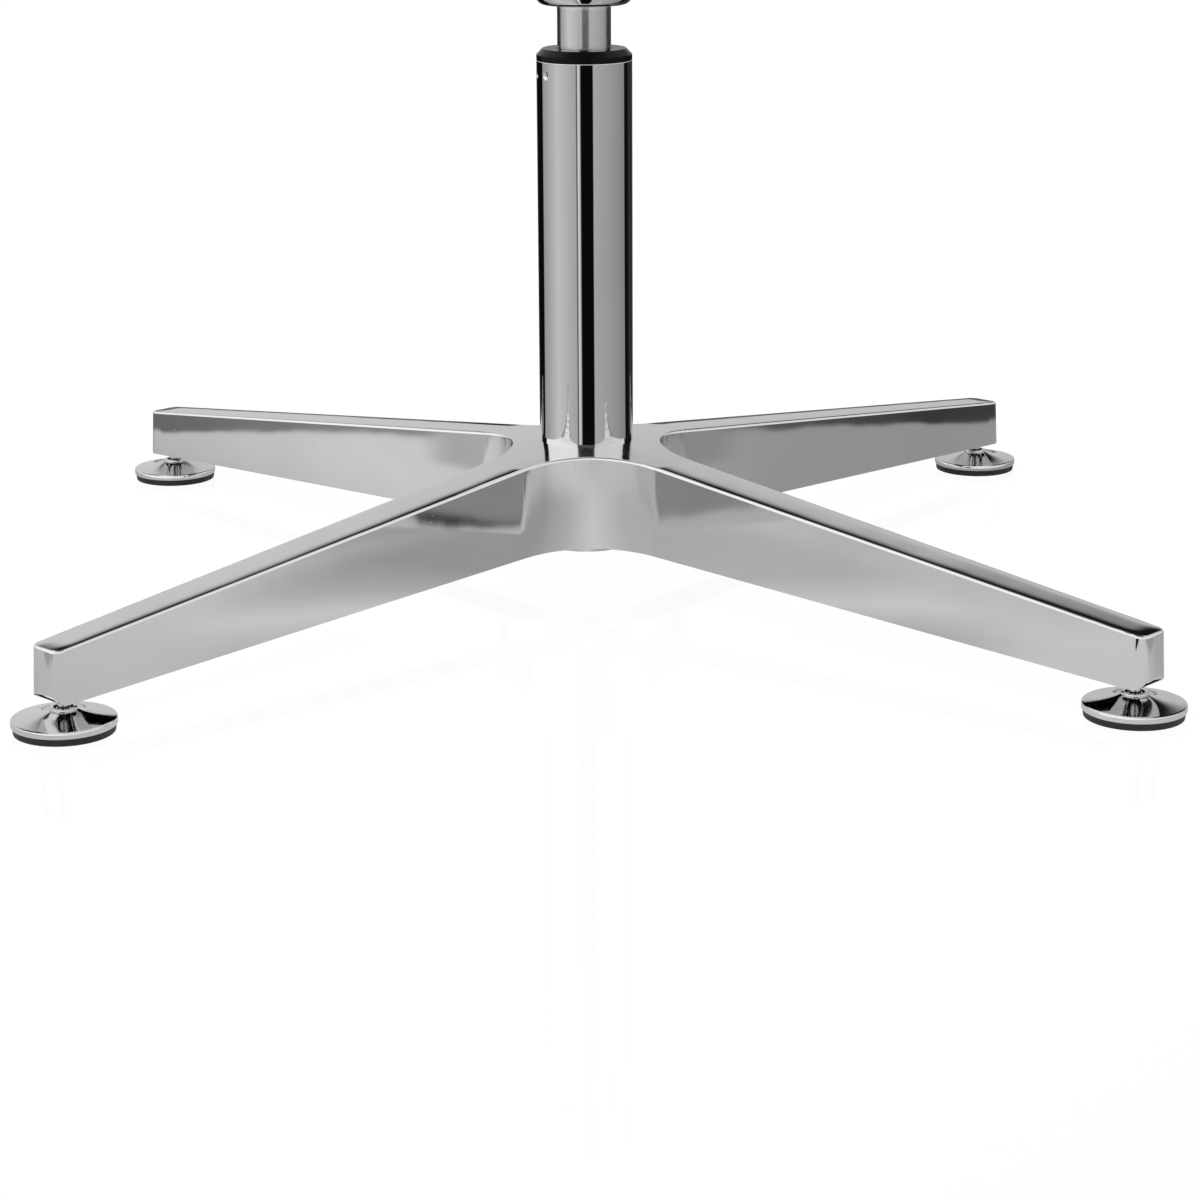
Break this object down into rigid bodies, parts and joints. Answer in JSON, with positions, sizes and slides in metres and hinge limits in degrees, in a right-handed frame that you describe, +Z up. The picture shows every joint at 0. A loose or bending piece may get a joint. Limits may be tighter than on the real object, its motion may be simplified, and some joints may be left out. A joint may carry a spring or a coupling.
{
  "type": "four star chair base",
  "caption": "Star-shaped polished chair base with slim sloping legs on swivel glides, and a turning gas lift column with a seat taper.",
  "frame": {"origin": "on the floor, under the column's axis", "axes": "+Z up along the column, with the legs along +X, +Y, -X and -Y"},
  "size_m": [0.7554, 0.7554, 0.3527],
  "materials": {
    "cast_star": "mirror polished",
    "stand_tube": "bright",
    "bush_plastic": "moulded",
    "cage_plastic": "moulded",
    "turned_steel": "ground",
    "bearing_steel": "polished",
    "spring_steel": "oiled",
    "valve_alloy": "turned",
    "lift_chrome": "bright",
    "cup_chrome": "bright",
    "buffer_rubber": "matte",
    "pad_rubber": "matte",
    "dome_chrome": "bright",
    "liner_nylon": "moulded",
    "stem_steel": "zinc plated"
  },
  "bodies": {
    "base": {"star_base": "cast_star", "column_tube": "stand_tube", "guide_bush": "bush_plastic", "bearing_plate": "turned_steel", "lower_race": "bearing_steel"},
    "bearing": {"bearing_cage": "cage_plastic", "bearing_balls": "bearing_steel"},
    "rod": {"piston_rod": "turned_steel", "piston": "valve_alloy", "upper_race": "bearing_steel", "rubber_buffer": "buffer_rubber", "retaining_clip": "spring_steel"},
    "lift": {"gas_cylinder": "lift_chrome", "rod_guide": "cage_plastic", "valve_block": "valve_alloy", "cover_cup": "cup_chrome"},
    "pin": {"release_pin": "turned_steel"},
    "stem_east": {"glide_stem_east": "stem_steel"},
    "liner_east": {"glide_liner_east": "liner_nylon"},
    "foot_east": {"glide_dome_east": "dome_chrome", "glide_pad_east": "pad_rubber"},
    "stem_north": {"glide_stem_north": "stem_steel"},
    "liner_north": {"glide_liner_north": "liner_nylon"},
    "foot_north": {"glide_dome_north": "dome_chrome", "glide_pad_north": "pad_rubber"},
    "stem_west": {"glide_stem_west": "stem_steel"},
    "liner_west": {"glide_liner_west": "liner_nylon"},
    "foot_west": {"glide_dome_west": "dome_chrome", "glide_pad_west": "pad_rubber"},
    "stem_south": {"glide_stem_south": "stem_steel"},
    "liner_south": {"glide_liner_south": "liner_nylon"},
    "foot_south": {"glide_dome_south": "dome_chrome", "glide_pad_south": "pad_rubber"}
  },
  "joints": [
    {"name": "seat_turn", "type": "hinge", "parent": "base", "child": "rod", "pos_m": [0, 0, 0.03], "axis": [0, 0, 1], "continuous": true},
    {"name": "bearing_turn", "type": "hinge", "parent": "base", "child": "bearing", "pos_m": [0, 0, 0.03], "axis": [0, 0, 1], "continuous": true},
    {"name": "seat_lift", "type": "slide", "parent": "rod", "child": "lift", "axis": [0, 0, 1], "range_m": [-0.02, 0.08]},
    {"name": "release_press", "type": "slide", "parent": "lift", "child": "pin", "axis": [0, 0, -1], "range_m": [0, 0.004], "stiffness_N_per_m": 5000, "springref_m": -0.001},
    {"name": "level_east", "type": "slide", "parent": "base", "child": "stem_east", "axis": [0, 0, 1], "range_m": [-0.006, 0.0015]},
    {"name": "roll_east", "type": "hinge", "parent": "stem_east", "child": "liner_east", "pos_m": [0.353, 0, 0.0064], "axis": [1, 0, 0], "range_deg": [-10, 10]},
    {"name": "pitch_east", "type": "hinge", "parent": "liner_east", "child": "foot_east", "pos_m": [0.353, 0, 0.0064], "axis": [0, 1, 0], "range_deg": [-10, 10]},
    {"name": "level_north", "type": "slide", "parent": "base", "child": "stem_north", "axis": [0, 0, 1], "range_m": [-0.006, 0.0015]},
    {"name": "roll_north", "type": "hinge", "parent": "stem_north", "child": "liner_north", "pos_m": [0, 0.353, 0.0064], "axis": [0, 1, 0], "range_deg": [-10, 10]},
    {"name": "pitch_north", "type": "hinge", "parent": "liner_north", "child": "foot_north", "pos_m": [0, 0.353, 0.0064], "axis": [-1, 0, 0], "range_deg": [-10, 10]},
    {"name": "level_west", "type": "slide", "parent": "base", "child": "stem_west", "axis": [0, 0, 1], "range_m": [-0.006, 0.0015]},
    {"name": "roll_west", "type": "hinge", "parent": "stem_west", "child": "liner_west", "pos_m": [-0.353, 0, 0.0064], "axis": [-1, 0, 0], "range_deg": [-10, 10]},
    {"name": "pitch_west", "type": "hinge", "parent": "liner_west", "child": "foot_west", "pos_m": [-0.353, 0, 0.0064], "axis": [0, -1, 0], "range_deg": [-10, 10]},
    {"name": "level_south", "type": "slide", "parent": "base", "child": "stem_south", "axis": [0, 0, 1], "range_m": [-0.006, 0.0015]},
    {"name": "roll_south", "type": "hinge", "parent": "stem_south", "child": "liner_south", "pos_m": [0, -0.353, 0.0064], "axis": [0, -1, 0], "range_deg": [-10, 10]},
    {"name": "pitch_south", "type": "hinge", "parent": "liner_south", "child": "foot_south", "pos_m": [0, -0.353, 0.0064], "axis": [1, 0, 0], "range_deg": [-10, 10]}
  ],
  "couplings": [
    {"joint": "bearing_turn", "follows": "seat_turn", "ratio": 0.5}
  ]
}
